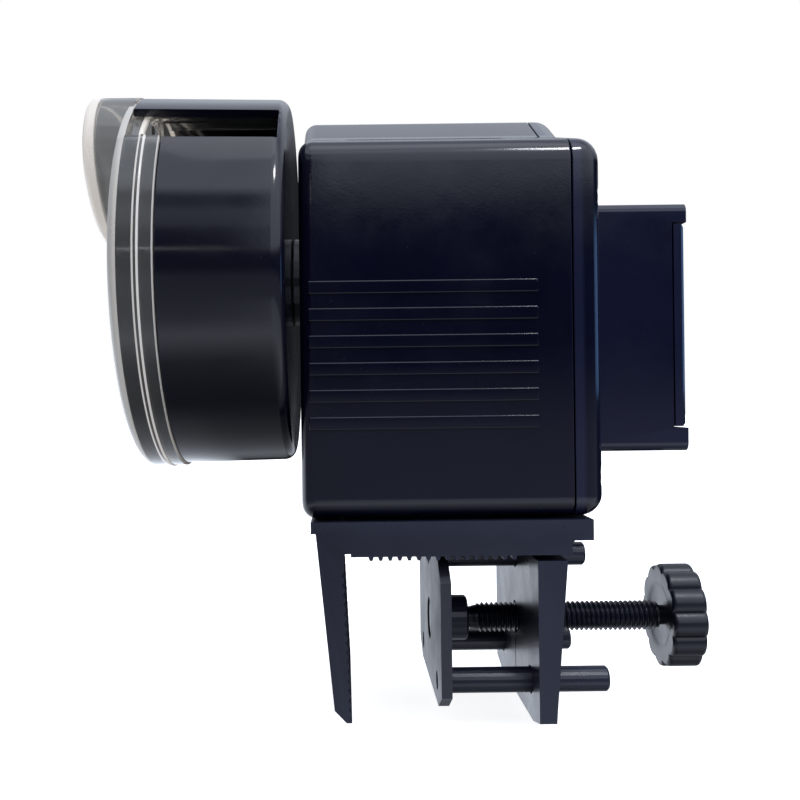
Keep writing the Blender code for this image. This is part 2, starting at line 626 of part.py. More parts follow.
def beam_outline():
    """Beam, toothed rail and fixed jaw as one side view, in X and Z."""
    points = [(-8.9, BEAM_TOP), (-8.9, 4.3), (-8.0, 4.3), (-4.9, -28.0)]
    points += [(-2.7, JAW_TIP_Z), (JAW_TIP_X, JAW_TIP_Z)]
    teeth = 16
    for i in range(teeth):
        z = JAW_TIP_Z + 0.6 + i * RACK_PITCH
        x = JAW_TIP_X + (JAW_ROOT_X - JAW_TIP_X) * (i + 0.5) / teeth
        points += [(x - 0.5, z), (x, z + RACK_PITCH * 0.5)]
    points += [(JAW_ROOT_X, SEAT_RELIEF), (SEAT_LEFT, SEAT_RELIEF), (SEAT_LEFT, 0.0)]
    for i in range(RACK_TEETH):
        x = RACK_LEFT + i * RACK_PITCH
        points += [(x, 0.0), (x + 0.25, -RACK_DEPTH), (x + 0.75, -RACK_DEPTH), (x + 1.0, 0.0)]
    points += [(39.0, 0.0), (39.0, BEAM_LOW), (39.4, 2.6), (BEAM_RIGHT, 2.6), (BEAM_RIGHT, BEAM_TOP)]
    return points[::-1]


def build_clamp():
    plastic = satin_black("clamp")
    beam = prism("clamp_beam", beam_outline(), -HALF_DEPTH, HALF_DEPTH, plastic, plane="Y")
    for side in (-RAIL_Y, RAIL_Y):
        combine(beam, box("neck", (7.0, side - 2, -2), (50, side + 2, 3)))
        combine(beam, box("head", (7.0, side - 4, 1.8), (50, side + 4, 4.4)))
    for i, (x, y) in enumerate(BEAM_SCREWS):
        combine(beam, prism("hole", circle((x, y), 1.7, 12), 2.6, 8, plane="Z"))
        screw = fixing(f"beam_screw_{i + 1}", 3.0, 8.9, 10.0, (0, 0))
        screw.rotation_euler = (0, -math.pi / 2, 0)
        screw.location = (x * MM, y * MM, 0)

    outline = [(-HALF_DEPTH, -1.1), (-HALF_DEPTH, -30.9), (-18, -32.4)]
    outline += [(-y, z) for y, z in reversed(outline)]
    jaw = prism("rear_jaw", outline, JAW_LEFT, 38.2, satin_black("rear_jaw"))
    taper = [(39.5, 0.0), (38.2, 0.0), (35.5, -34.0), (39.5, -34.0)]
    combine(jaw, prism("taper", taper, -30, 30, plane="Y"))
    for side in (-RAIL_Y, RAIL_Y):
        combine(jaw, box("neck", (JAW_LEFT, side - 1.6, -3), (37.2, side + 1.6, 3)), "UNION")
        combine(jaw, box("head", (JAW_LEFT, side - 3.6, 2.2), (37.2, side + 3.6, 4.0)), "UNION")
    for y, z in RODS.values():
        combine(jaw, rod("hole", 30, 42, ROD_R + GAP, (y, z), steps=24))
    top = RODS["guide_rod_top"]
    combine(jaw, box("notch", (30, -ROD_R - GAP, top[1]), (42, ROD_R + GAP, 0)))
    combine(jaw, rod("hole", 30, 42, SCREW_R + 0.35, (0, SCREW_Z), steps=32))
    combine(jaw, box("slit", (32.0, -0.3, -32.0), (33.1, 0.3, -20.5)))

    corners = [(-HALF_DEPTH, -5.0), (-HALF_DEPTH, -26.0), (-18, -29.4)]
    corners += [(-y, z) for y, z in reversed(corners)]
    outline = corners + [(19, -1.3), (-19, -1.3)]
    plate = prism("pressure_plate", outline, PLATE_LEFT, PLATE_RIGHT, satin_black("pressure_plate"))
    combine(plate, rod("hole", 14, 18, 4.3, (0, SCREW_Z)))
    for name, (y, z) in RODS.items():
        combine(plate, rod("pin_hole", 14, 18, 1.85, (y, z), steps=20))
        right = ROD_RIGHT - 0.5 if name == "guide_rod_top" else ROD_RIGHT
        start, step = PLATE_LEFT + 0.6, PLATE_RIGHT + GAP
        profile = [(start, 0), (start, 1.5), (step, 1.5), (step, ROD_R)]
        profile += [(right - 0.4, ROD_R), (right, ROD_R - 0.4), (right, 0)]
        turned(name, profile, (y, z), satin_black(name), 24)
    x = PLATE_RIGHT + GAP
    collar = [(x, 2.6), (x, 4.6), (x + 5.0, 4.6), (x + 5.4, 4.2), (x + 5.4, 2.6)]
    turned("swivel_collar", collar, (0, SCREW_Z), satin_black("swivel_collar"), 28)
    screw = [(15.0, 0), (15.0, 3.4), (15.4, 3.8), (16.7, 3.8), (16.7, 2.2), (23.2, 2.2), (24.0, SCREW_R)]
    screw += [(KNOB_X[0] - GAP, SCREW_R), (KNOB_X[0] - GAP, 2.0), (67.5, 2.0), (67.5, 0)]
    turned("clamp_screw", screw, (0, SCREW_Z), satin_black("clamp_screw"), 28)
    build_knob()


def build_knob():
    def outline(inset):
        points = []
        for i in range(KNOB_LOBES * 5):
            angle = 2 * math.pi * i / (KNOB_LOBES * 5)
            radius = KNOB_R - inset - 0.75 * (1 - abs(math.cos(KNOB_LOBES * angle / 2)) ** 0.8)
            points.append((radius * math.cos(angle), SCREW_Z + radius * math.sin(angle)))
        return points

    low, high = KNOB_X
    sections = [(low, outline(1.2)), (low + 0.9, outline(0.0))]
    sections += [(high - 0.9, outline(0.0)), (high, outline(1.2))]
    knob = loft("clamp_knob", sections, satin_black("clamp_knob"), origin=(0, 0, SCREW_Z))
    combine(knob, rod("bore", low - 1, 67.9, 2.3, (0, SCREW_Z), steps=20))


for old in list(bpy.data.objects):
    bpy.data.objects.remove(old)
build_shell()
build_end_cover()
build_panel()
build_drive()
build_drum()
build_lid()
build_shutter()
build_batteries()
build_clamp()
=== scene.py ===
"""Looks of the aquarium feeder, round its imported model. Mesh code is in millimetres, Blender in metres."""

import math

import bmesh
import bpy
from mathutils import Matrix, Vector


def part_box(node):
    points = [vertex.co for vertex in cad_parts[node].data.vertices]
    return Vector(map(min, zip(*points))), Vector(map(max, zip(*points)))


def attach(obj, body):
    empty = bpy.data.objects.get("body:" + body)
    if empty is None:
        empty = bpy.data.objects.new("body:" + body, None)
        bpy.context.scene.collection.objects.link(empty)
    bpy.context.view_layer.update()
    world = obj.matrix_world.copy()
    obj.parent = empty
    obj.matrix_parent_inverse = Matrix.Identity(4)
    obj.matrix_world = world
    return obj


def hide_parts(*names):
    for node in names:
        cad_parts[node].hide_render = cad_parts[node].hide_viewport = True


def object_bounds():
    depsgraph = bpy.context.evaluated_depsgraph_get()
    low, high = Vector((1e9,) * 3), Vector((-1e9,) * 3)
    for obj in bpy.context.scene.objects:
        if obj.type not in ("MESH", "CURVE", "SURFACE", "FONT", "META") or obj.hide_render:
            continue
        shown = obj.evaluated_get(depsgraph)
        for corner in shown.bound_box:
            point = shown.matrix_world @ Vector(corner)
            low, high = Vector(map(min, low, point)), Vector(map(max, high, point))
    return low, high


MM = 0.001
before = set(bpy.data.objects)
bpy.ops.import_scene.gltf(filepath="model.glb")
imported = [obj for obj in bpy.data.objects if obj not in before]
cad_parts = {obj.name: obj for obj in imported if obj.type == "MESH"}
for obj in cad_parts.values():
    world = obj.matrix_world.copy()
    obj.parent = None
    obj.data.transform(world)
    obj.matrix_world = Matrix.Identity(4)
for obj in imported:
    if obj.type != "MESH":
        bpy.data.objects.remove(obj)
cad_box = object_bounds()


def extent(node):
    """A node's lowest and highest corners in millimetres."""
    low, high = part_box(node)
    return Vector(low) / MM, Vector(high) / MM


# ---------------------------------------------------------------- dimensions, from the frame

SHELL_LOW, SHELL_HIGH = extent("main_shell")
COVER_LOW, COVER_HIGH = extent("end_cover")
DRUM_LOW, DRUM_HIGH = extent("drum_body")
LID_LOW, LID_HIGH = extent("drum_lid")
SCREW_LOW, SCREW_HIGH = extent("clamp_screw")
KNOB_LOW, KNOB_HIGH = extent("clamp_knob")
SHAFT_LOW, SHAFT_HIGH = extent("drive_shaft")
AXIS_Z = (SHAFT_LOW.z + SHAFT_HIGH.z) / 2
SCREW_Z = (SCREW_LOW.z + SCREW_HIGH.z) / 2
HALF_DEPTH = COVER_HIGH.y
PANEL_Y, LENS_V, BUTTON_V = -8.5, 4.8, -6.0  # the panel's middle, and its rows up the slope
RIB_COUNT, RIB_HEIGHT, RIB_PITCH, RIB_LOW, RIB_RIGHT = 6, 2.4, 4.98, 23.3, 33.2
WALL = 1.8
SHELL_FILLET, COVER_FILLET = 2.6, 4.2
GAP = 0.3
WELL_DEPTH, WELL_R, SHANK_HOLE_R = 1.1, 2.9, 1.6  # round each cover screw
LENS_HOLE, BUTTON_HOLE = (15.8, 4.6), (4.0, 2.5)  # half width and half height
SHAFT_HOLE_R = 4.5
DRUM_R = DRUM_HIGH.z - AXIS_Z
SEAT_R = DRUM_R - 0.8
BEAD_PROUD = 0.25
LOBE_BAND = 2.3
SLEEVE_LENGTH, SLEEVE_WALL = 2.9, 0.9  # of the shutter, in the drum's mouth
SLOT_FAR, SLOT_NEAR, SKIRT_END = 35.3, 51.5, 52.0  # degrees from the top towards -Y
SLOT_RIGHT = DRUM_HIGH.x - 1.4
CUT_R = 44.0  # well outside the drum, for cutters
ROUND_STEPS = 160
DRUM_STEPS = 240


# ---------------------------------------------------------------- mesh tools

def finish_piece(name, bm, body, surface, smooth=40.0):
    """A millimetre bmesh as a smooth-shaded piece riding on a body."""
    bmesh.ops.recalc_face_normals(bm, faces=bm.faces)
    bmesh.ops.scale(bm, vec=(MM, MM, MM), verts=bm.verts)
    mesh = bpy.data.meshes.new(name)
    bm.to_mesh(mesh)
    bm.free()
    mesh.shade_smooth()
    mesh.set_sharp_from_angle(angle=math.radians(smooth))
    made = bpy.data.objects.new(name, mesh)
    bpy.context.scene.collection.objects.link(made)
    if surface:
        mesh.materials.append(surface)
    if body:
        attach(made, body)
    return made


def rings_to_mesh(bm, rings):
    """Skins rings of equal length and closes both ends."""
    for first, second in zip(rings, rings[1:]):
        count = len(first)
        for i in range(count):
            j = (i + 1) % count
            bm.faces.new((first[i], first[j], second[j], second[i]))
    bm.faces.new(rings[0])
    bm.faces.new(rings[-1])


def loft(sections, plane="X"):
    """A closed bmesh through (position, outline) sections."""
    bm = bmesh.new()
    place = {"X": lambda a, b, c: (c, a, b), "Z": lambda a, b, c: (a, b, c)}[plane]
    rings = [[bm.verts.new(place(a, b, along)) for a, b in outline] for along, outline in sections]
    rings_to_mesh(bm, rings)
    return bm


def turned(profile, centre, steps=ROUND_STEPS):
    """A closed turned bmesh about a line along X; profile points are (x, radius)."""
    bm = bmesh.new()
    rings = []
    for x, radius in profile:
        count = 1 if radius == 0 else steps
        angles = [2 * math.pi * i / steps for i in range(count)]
        points = [(x, centre[0] + radius * math.cos(a), centre[1] + radius * math.sin(a)) for a in angles]
        rings.append([bm.verts.new(point) for point in points])
    closed = profile[0][1] > 0
    for first, second in list(zip(rings, rings[1:])) + ([(rings[-1], rings[0])] if closed else []):
        for i in range(steps):
            j = (i + 1) % steps
            corners = [first[i % len(first)], first[j % len(first)]]
            corners += [second[j % len(second)], second[i % len(second)]]
            bm.faces.new(list(dict.fromkeys(corners)))
    return bm


def drill(x_low, x_high, radius, centre, steps):
    """A plain cylinder along X, to cut with."""
    return turned([(x_low, 0), (x_low, radius), (x_high, radius), (x_high, 0)], centre, steps)


def rounded(corners, inset=0.0, steps=10):
    """An outline from anticlockwise (a, b, radius) corners, moved inwards by inset, every corner an arc."""
    count = len(corners)
    lines = []
    for i in range(count):
        start = Vector(corners[i][:2])
        way = (Vector(corners[(i + 1) % count][:2]) - start).normalized()
        lines.append((start + Vector((-way.y, way.x)) * inset, way))
    outline = []
    for i in range(count):
        (p, u), (q, v) = lines[i - 1], lines[i]
        turn = u.x * v.y - u.y * v.x
        apex = p + u * (((q - p).x * v.y - (q - p).y * v.x) / turn)
        radius = max(corners[i][2] - inset, 0.2) if turn > 0 else corners[i][2] + inset
        sweep = math.atan2(turn, u.dot(v))
        side = math.copysign(1, turn)
        centre = apex - u * radius * math.tan(abs(sweep) / 2) + Vector((-u.y, u.x)) * radius * side
        first = math.atan2(-side * u.x, side * u.y)
        for k in range(steps + 1):
            angle = first + sweep * k / steps
            outline.append((centre.x + radius * math.cos(angle), centre.y + radius * math.sin(angle)))
    return outline


def rounded_end(x_end, inward, radius, outline, extra=0.0, steps=8):
    """Sections of a rounded end, from its flat face to the full outline."""
    sections = []
    for k in range(steps, -1, -1):
        angle = math.pi / 2 * k / steps
        x = x_end + inward * radius * (1 - math.sin(angle))
        sections.append((x, outline(extra + radius * (1 - math.cos(angle)))))
    return sections


def block(low, high, radius=0.3, steps=3):
    """A box with rounded edges all round, as a bmesh."""
    bm = bmesh.new()
    bmesh.ops.create_cube(bm, size=1.0)
    size = Vector(high) - Vector(low)
    bmesh.ops.scale(bm, vec=size, verts=bm.verts)
    bmesh.ops.translate(bm, vec=(Vector(high) + Vector(low)) / 2, verts=bm.verts)
    if radius:
        bmesh.ops.bevel(bm, geom=list(bm.edges), offset=radius, segments=steps, profile=0.5, affect="EDGES")
    return bm


def combine(target, bm, operation="DIFFERENCE"):
    """Applies one Boolean with a millimetre bmesh."""
    tool = finish_piece("tool", bm, None, None)
    step = target.modifiers.new("cut", "BOOLEAN")
    step.operation = operation
    step.solver = "EXACT"
    step.object = tool
    bpy.context.view_layer.update()
    result = bpy.data.meshes.new_from_object(target.evaluated_get(bpy.context.evaluated_depsgraph_get()))
    target.modifiers.clear()
    old = target.data
    target.data = result
    bpy.data.meshes.remove(old)
    bpy.data.objects.remove(tool)


def soften(obj, width=0.2, segments=2, angle=35.0):
    """Small moulded edge radii, with flat faces kept flat in the shading."""
    if width:
        bevel = obj.modifiers.new("edge_radius", "BEVEL")
        bevel.width = width * MM
        bevel.segments = segments
        bevel.limit_method = "ANGLE"
        bevel.angle_limit = math.radians(angle)
        bevel.use_clamp_overlap = True
        bevel.harden_normals = False
    normals = obj.modifiers.new("flat_faces", "WEIGHTED_NORMAL")
    normals.keep_sharp = True
    normals.weight = 60


# ---------------------------------------------------------------- materials

def node_material(name):
    """A new material, its node tree and its main shader."""
    made = bpy.data.materials.new(name)
    made.use_nodes = True
    tree = made.node_tree
    return made, tree, tree.nodes["Principled BSDF"]


def add(tree, kind, **settings):
    """A node with its inputs, or else its properties, set by name."""
    node = tree.nodes.new(kind)
    for key, value in settings.items():
        if key in node.inputs:
            node.inputs[key].default_value = value
        else:
            setattr(node, key, value)
    return node


def ramp(tree, source, low, high, first, last):
    """A colour ramp between two positions and two colours or greys."""
    node = tree.nodes.new("ShaderNodeValToRGB")
    tree.links.new(source, node.inputs["Fac"])
    for element, place, colour in zip(node.color_ramp.elements, (low, high), (first, last)):
        element.position = place
        element.color = (*colour, 1.0) if isinstance(colour, tuple) else (colour, colour, colour, 1.0)
    return node.outputs["Color"]


def object_coordinates(tree):
    return tree.nodes.new("ShaderNodeTexCoord").outputs["Object"]


def plastic(name, colour, lighter, roughness, spread, grain, grain_size, wear=0.35, coat=0.0):
    """Moulded plastic: faint colour drift, smudged gloss, fine grain and rubbed edges."""
    made, tree, shader = node_material(name)
    where = object_coordinates(tree)
    drift = add(tree, "ShaderNodeTexNoise", Scale=38.0, Detail=4.0, Roughness=0.55)
    smudge = add(tree, "ShaderNodeTexNoise", Scale=95.0, Detail=6.0, Roughness=0.62)
    fine = add(tree, "ShaderNodeTexNoise", Scale=grain_size, Detail=2.0, Roughness=0.5)
    specks = add(tree, "ShaderNodeTexVoronoi", Scale=420.0)
    for node in (drift, smudge, fine, specks):
        tree.links.new(where, node.inputs["Vector"])
    base = ramp(tree, drift.outputs["Fac"], 0.35, 0.7, colour, lighter)
    edges = tree.nodes.new("ShaderNodeNewGeometry").outputs["Pointiness"]
    rubbed = ramp(tree, edges, 0.53, 0.62, 0.0, wear)
    mix = tree.nodes.new("ShaderNodeMix")
    mix.data_type = "RGBA"
    tree.links.new(rubbed, mix.inputs["Factor"])
    tree.links.new(base, mix.inputs["A"])
    mix.inputs["B"].default_value = tuple(min(c * 5 + 0.02, 1.0) for c in lighter) + (1.0,)
    tree.links.new(mix.outputs["Result"], shader.inputs["Base Color"])
    gloss = ramp(tree, smudge.outputs["Fac"], 0.32, 0.75, roughness, roughness + spread)
    dust = ramp(tree, specks.outputs["Distance"], 0.02, 0.05, 0.35, 0.0)
    total = add(tree, "ShaderNodeMath", operation="ADD")
    tree.links.new(gloss, total.inputs[0])
    tree.links.new(dust, total.inputs[1])
    tree.links.new(total.outputs[0], shader.inputs["Roughness"])
    bump = add(tree, "ShaderNodeBump", Strength=grain, Distance=0.00008)
    tree.links.new(fine.outputs["Fac"], bump.inputs["Height"])
    wave = add(tree, "ShaderNodeBump", Strength=0.05, Distance=0.0006)
    tree.links.new(drift.outputs["Fac"], wave.inputs["Height"])
    tree.links.new(bump.outputs["Normal"], wave.inputs["Normal"])
    tree.links.new(wave.outputs["Normal"], shader.inputs["Normal"])
    shader.inputs["IOR"].default_value = 1.52
    shader.inputs["Coat Weight"].default_value = coat
    shader.inputs["Coat Roughness"].default_value = 0.06
    return made


def clear_plastic(name, tint, roughness, scratches=0.1, clarity=0.94, glow=0.0):
    """Clear styrene with hairline scratches and a few duller patches, and an optional warm emission: a
    painted glow that stands in for light on rims and edges.
    """
    made, tree, shader = node_material(name)
    where = object_coordinates(tree)
    stretch = add(tree, "ShaderNodeMapping")
    stretch.inputs["Scale"].default_value = (1.0, 0.15, 0.15)
    tree.links.new(where, stretch.inputs["Vector"])
    hairs = add(tree, "ShaderNodeTexNoise", Scale=900.0, Detail=3.0, Roughness=0.7)
    haze = add(tree, "ShaderNodeTexNoise", Scale=60.0, Detail=5.0, Roughness=0.6)
    tree.links.new(stretch.outputs["Vector"], hairs.inputs["Vector"])
    tree.links.new(where, haze.inputs["Vector"])
    dull = ramp(tree, haze.outputs["Fac"], 0.4, 0.8, roughness, roughness + 0.12)
    tree.links.new(dull, shader.inputs["Roughness"])
    colour = ramp(tree, haze.outputs["Fac"], 0.3, 0.7, tint, tuple(c * 0.96 for c in tint))
    tree.links.new(colour, shader.inputs["Base Color"])
    bump = add(tree, "ShaderNodeBump", Strength=scratches, Distance=0.00005)
    tree.links.new(hairs.outputs["Fac"], bump.inputs["Height"])
    tree.links.new(bump.outputs["Normal"], shader.inputs["Normal"])
    shader.inputs["Transmission Weight"].default_value = clarity
    # Painted light: the warm emission makes the plastic glow as if lit, though it is no lamp.
    shader.inputs["Emission Color"].default_value = (1.0, 0.92, 0.83, 1.0)
    shader.inputs["Emission Strength"].default_value = glow
    shader.inputs["IOR"].default_value = 1.49
    return made


def metal(name, colour, roughness, lines=400.0):
    """Turned or rolled metal with fine tool lines and tarnish."""
    made, tree, shader = node_material(name)
    where = object_coordinates(tree)
    stretch = add(tree, "ShaderNodeMapping")
    stretch.inputs["Scale"].default_value = (6.0, 0.4, 0.4)
    tree.links.new(where, stretch.inputs["Vector"])
    tool = add(tree, "ShaderNodeTexNoise", Scale=lines, Detail=3.0)
    tarnish = add(tree, "ShaderNodeTexNoise", Scale=120.0, Detail=5.0)
    tree.links.new(stretch.outputs["Vector"], tool.inputs["Vector"])
    tree.links.new(where, tarnish.inputs["Vector"])
    colour_out = ramp(tree, tarnish.outputs["Fac"], 0.35, 0.75, colour, tuple(c * 0.6 for c in colour))
    tree.links.new(colour_out, shader.inputs["Base Color"])
    gloss = ramp(tree, tool.outputs["Fac"], 0.3, 0.7, roughness, roughness + 0.2)
    tree.links.new(gloss, shader.inputs["Roughness"])
    bump = add(tree, "ShaderNodeBump", Strength=0.2, Distance=0.00004)
    tree.links.new(tool.outputs["Fac"], bump.inputs["Height"])
    tree.links.new(bump.outputs["Normal"], shader.inputs["Normal"])
    shader.inputs["Metallic"].default_value = 1.0
    return made


GLOSS_TONES = (0.0026, 0.0036, 0.015), (0.0042, 0.0054, 0.020)
GLOSS = plastic("gloss_black", *GLOSS_TONES, 0.07, 0.10, 0.04, 2600.0, 0.25)
RIB_GLOSS = plastic("gloss_black_rib", *GLOSS_TONES, 0.07, 0.10, 0.04, 2600.0, 0.0)
DRUM_TONES = (0.0034, 0.004, 0.012), (0.0052, 0.0058, 0.016)
DRUM_BLACK = plastic("drum_black", *DRUM_TONES, 0.06, 0.12, 0.04, 2600.0, 0.25)
SATIN = plastic("satin_black", (0.0038, 0.005, 0.013), (0.006, 0.0076, 0.018), 0.26, 0.14, 0.30, 3200.0, 0.35)
MATTE_TONES = (0.006, 0.0068, 0.011), (0.0095, 0.0105, 0.0155)
MATTE = plastic("matte_black", *MATTE_TONES, 0.36, 0.16, 0.45, 2800.0, 0.4)
BUTTON = plastic("button_grey", (0.16, 0.17, 0.18), (0.20, 0.21, 0.22), 0.42, 0.12, 0.4, 3600.0, 0.2)
NYLON = plastic("white_nylon", (0.62, 0.61, 0.56), (0.70, 0.69, 0.64), 0.40, 0.12, 0.3, 1500.0, 0.1)
RUBBER = plastic("grey_silicone", (0.22, 0.22, 0.22), (0.27, 0.27, 0.27), 0.6, 0.12, 0.4, 1800.0, 0.1)
BOARD = plastic("green_board", (0.010, 0.11, 0.04), (0.014, 0.15, 0.06), 0.32, 0.12, 0.3, 900.0, 0.2)
LCD = plastic("lcd_grey", (0.34, 0.38, 0.30), (0.38, 0.42, 0.34), 0.16, 0.06, 0.05, 1500.0, 0.0)
SEGMENT = plastic("lcd_segment", (0.012, 0.014, 0.012), (0.018, 0.020, 0.018), 0.3, 0.1, 0.1, 1500.0, 0.0)
JACKET = plastic("cell_jacket", (0.02, 0.05, 0.09), (0.03, 0.07, 0.12), 0.2, 0.1, 0.1, 1500.0, 0.3)
CLEAR = clear_plastic("clear_styrene", (0.93, 0.94, 0.94), 0.03)
# Lid rims: frosted cream plastic, its own colour, plus a faint painted glow (emission) standing in for the
# light on the edges.
PAINTED_GLOW_RIM = clear_plastic("clear_styrene_rim_painted_glow", (0.88, 0.85, 0.80), 0.20, 0.2, 0.45, 0.08)
# Lobe and shutter end band: frosted cream plastic, its own colour, plus a stronger painted glow (emission)
# that stands in for light.
PAINTED_GLOW_LOBE = clear_plastic("clear_styrene_lobe_painted_glow", (0.92, 0.88, 0.84), 0.20, 0.2, 0.45, 0.25)
# Painted highlight: clear plastic with a strong glow, put on the bead's two flanks to draw bright lines where
# light would catch.
PAINTED_HIGHLIGHT_BEAD = clear_plastic("clear_styrene_bead_painted_highlight", (0.92, 0.92, 0.92), 0.12, 0.1, 0.5, 0.28)
SMOKE = clear_plastic("lens_smoke", (0.30, 0.32, 0.34), 0.03, 0.04)
STEEL = metal("turned_steel", (0.52, 0.52, 0.54), 0.24)
BRASS = metal("brass", (0.62, 0.46, 0.20), 0.24)

CAD_SURFACES = {}
for surface, nodes in (
    (GLOSS, "battery_box battery_door"),
    (SATIN, "drum_coupling gear_plate position_switch clamp_beam rear_jaw swivel_collar"),
    (SATIN, "guide_rod_top guide_rod_near guide_rod_far"),
    (MATTE, "pressure_plate"),
    (BUTTON, "set_button hour_button minute_button feed_button"),
    (RUBBER, "rubber_keypad"),
    (SMOKE, "display_lens"),
    (LCD, "lcd_module"),
    (BOARD, "control_board"),
    (NYLON, "output_gear idler_gear position_cam"),
    (BRASS, "motor_pinion shaft_bush"),
    (JACKET, "battery_cell_1 battery_cell_2"),
):
    CAD_SURFACES.update(dict.fromkeys(nodes.split(), surface))
EDGE_RADIUS = {
    "clamp_beam": 0.18, "rear_jaw": 0.25, "pressure_plate": 0.3, "battery_box": 0.35, "battery_door": 0.2,
}


def dress_cad():
    """Every carried-over CAD node gets its finish, steel if it is not named above, and small edge radii."""
    for name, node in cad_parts.items():
        surface = CAD_SURFACES.get(name, STEEL)
        node.data.materials.clear()
        node.data.materials.append(surface)
        node.data.shade_smooth()
        node.data.set_sharp_from_angle(angle=math.radians(30))
        soften(node, EDGE_RADIUS.get(name, 0.12))


# ---------------------------------------------------------------- housing

def panel_slope():
    """The control panel's tilt, and the height of its plane at Y = 0, from the display lens's box."""
    low, high = extent("display_lens")
    thick, deep = 1.55, 8.6
    tilt = math.asin(((high.z - low.z) - thick * math.cos(math.atan(0.283))) / deep)
    return tilt, high.z - high.y * math.tan(tilt) + 0.05


def housing_corners():
    """The housing's side outline as (y, z, radius) corners."""
    tilt, level = panel_slope()
    top = SHELL_HIGH.z
    bend_y = 4.2
    bend_z = level + bend_y * math.tan(tilt)
    near_z = level - HALF_DEPTH * math.tan(tilt)
    crest_z = crest_corner(bend_y, bend_z, top)
    return [
        (-HALF_DEPTH, COVER_LOW.z, 4.0), (HALF_DEPTH, COVER_LOW.z, 4.0), (HALF_DEPTH, crest_z, 6.0),
        (bend_y, bend_z, 15.0), (-HALF_DEPTH, near_z, 5.0),
    ]


def crest_corner(bend_y, bend_z, top, radius=6.0):
    """The height of the crest's sharp corner whose rounding touches the shell's top."""
    low, high = top, top + 2 * radius
    for _ in range(40):
        middle = (low + high) / 2
        slope = math.atan2(middle - bend_z, HALF_DEPTH - bend_y)
        reach = radius * math.tan((math.pi / 2 + slope) / 2)
        if middle - reach + radius > top:
            high = middle
        else:
            low = middle
    return middle


def housing_outline(inset=0.0):
    """The housing's side outline, moved inwards by inset."""
    return rounded(housing_corners(), inset, 12)


def cup(open_x, closed_x, radius, outline):
    """A hollow case with one open end and a rounded closed end."""
    inward = 1 if open_x > closed_x else -1
    outer = rounded_end(closed_x, inward, radius, outline)
    inner = rounded_end(closed_x + inward * WALL, inward, 0.8, outline, extra=WALL, steps=3)
    mouth = [(open_x, outline(WALL)), (open_x, outline(0.12)), (open_x - inward * 0.12, outline(0.0))]
    return loft(inner + mouth + outer[::-1])


def build_shell():
    """The housing's main shell, with openings for the lens, the buttons and the shaft."""
    bm = cup(SHELL_HIGH.x, SHELL_LOW.x, SHELL_FILLET, housing_outline)
    shell = finish_piece("housing_shell", bm, "housing", GLOSS)
    tilt, level = panel_slope()
    turn = Matrix.Rotation(tilt, 4, "X")
    for name in ("display_lens", "set_button", "hour_button", "minute_button", "feed_button"):
        low, high = extent(name)
        middle = (low + high) / 2
        half_u, half_v = LENS_HOLE if name == "display_lens" else BUTTON_HOLE
        v = LENS_V if name == "display_lens" else BUTTON_V
        origin = Vector((middle.x, PANEL_Y, level + PANEL_Y * math.tan(tilt)))
        corners = [(-half_u, v - half_v, 1.4), (half_u, v - half_v, 1.4)]
        corners += [(half_u, v + half_v, 1.4), (-half_u, v + half_v, 1.4)]
        cutter = loft([(-3.0, rounded(corners)), (2.0, rounded(corners))], "Z")
        bmesh.ops.transform(cutter, matrix=Matrix.Translation(origin) @ turn, verts=cutter.verts)
        combine(shell, cutter)
    combine(shell, drill(SHELL_LOW.x - 1, SHELL_LOW.x + 3, SHAFT_HOLE_R, (0, AXIS_Z), 64))
    soften(shell, 0.12, 2, 40)
    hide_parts("main_shell")


def build_ribs():
    """Six low bars on the near side, with soft edges that catch the light."""
    for i in range(RIB_COUNT):
        z = RIB_LOW + i * RIB_PITCH
        low = (SHELL_LOW.x + 1.6, -HALF_DEPTH - 0.24, z)
        high = (RIB_RIGHT, -HALF_DEPTH + 0.9, z + RIB_HEIGHT)
        bar = block(low, high, 0.22, 3)
        rib = finish_piece(f"side_rib_{i + 1}", bar, "housing", RIB_GLOSS)
        soften(rib, 0)


def build_end_cover():
    """The end cover, with a well and a shank hole for each of its screws."""
    bm = cup(COVER_LOW.x, COVER_HIGH.x, COVER_FILLET, housing_outline)
    cover = finish_piece("housing_end_cover", bm, "housing", GLOSS)
    for i in range(4):
        low, high = extent(f"cover_screw_{i + 1}")
        centre = ((low.y + high.y) / 2, (low.z + high.z) / 2)
        right = COVER_HIGH.x
        combine(cover, drill(right - WELL_DEPTH, right + 1, WELL_R, centre, 48))
        combine(cover, drill(COVER_LOW.x - 1, right + 1, SHANK_HOLE_R, centre, 32))
    soften(cover, 0.1, 2, 40)
    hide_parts("end_cover")


def build_screw_heads():
    """Cross recesses in the four cover screws."""
    for i in range(4):
        low, high = extent(f"cover_screw_{i + 1}")
        y, z, right = (low.y + high.y) / 2, (low.z + high.z) / 2, high.x
        profile = [(low.x, 0), (low.x + 0.6, 1.0), (low.x + 0.9, 1.3), (right - 0.9, 1.3), (right - 0.9, 2.5)]
        profile += [(right - 0.5, 2.5), (right - 0.15, 2.0), (right, 1.2), (right, 0)]
        screw = finish_piece(f"cross_screw_{i + 1}", turned(profile, (y, z), 48), "housing", STEEL)
        for half_y, half_z in ((1.4, 0.28), (0.28, 1.4)):
            deep, proud = (right - 0.7, y - half_y, z - half_z), (right + 0.5, y + half_y, z + half_z)
            combine(screw, block(deep, proud, 0.08, 1))
        soften(screw, 0.05)
        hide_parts(f"cover_screw_{i + 1}")


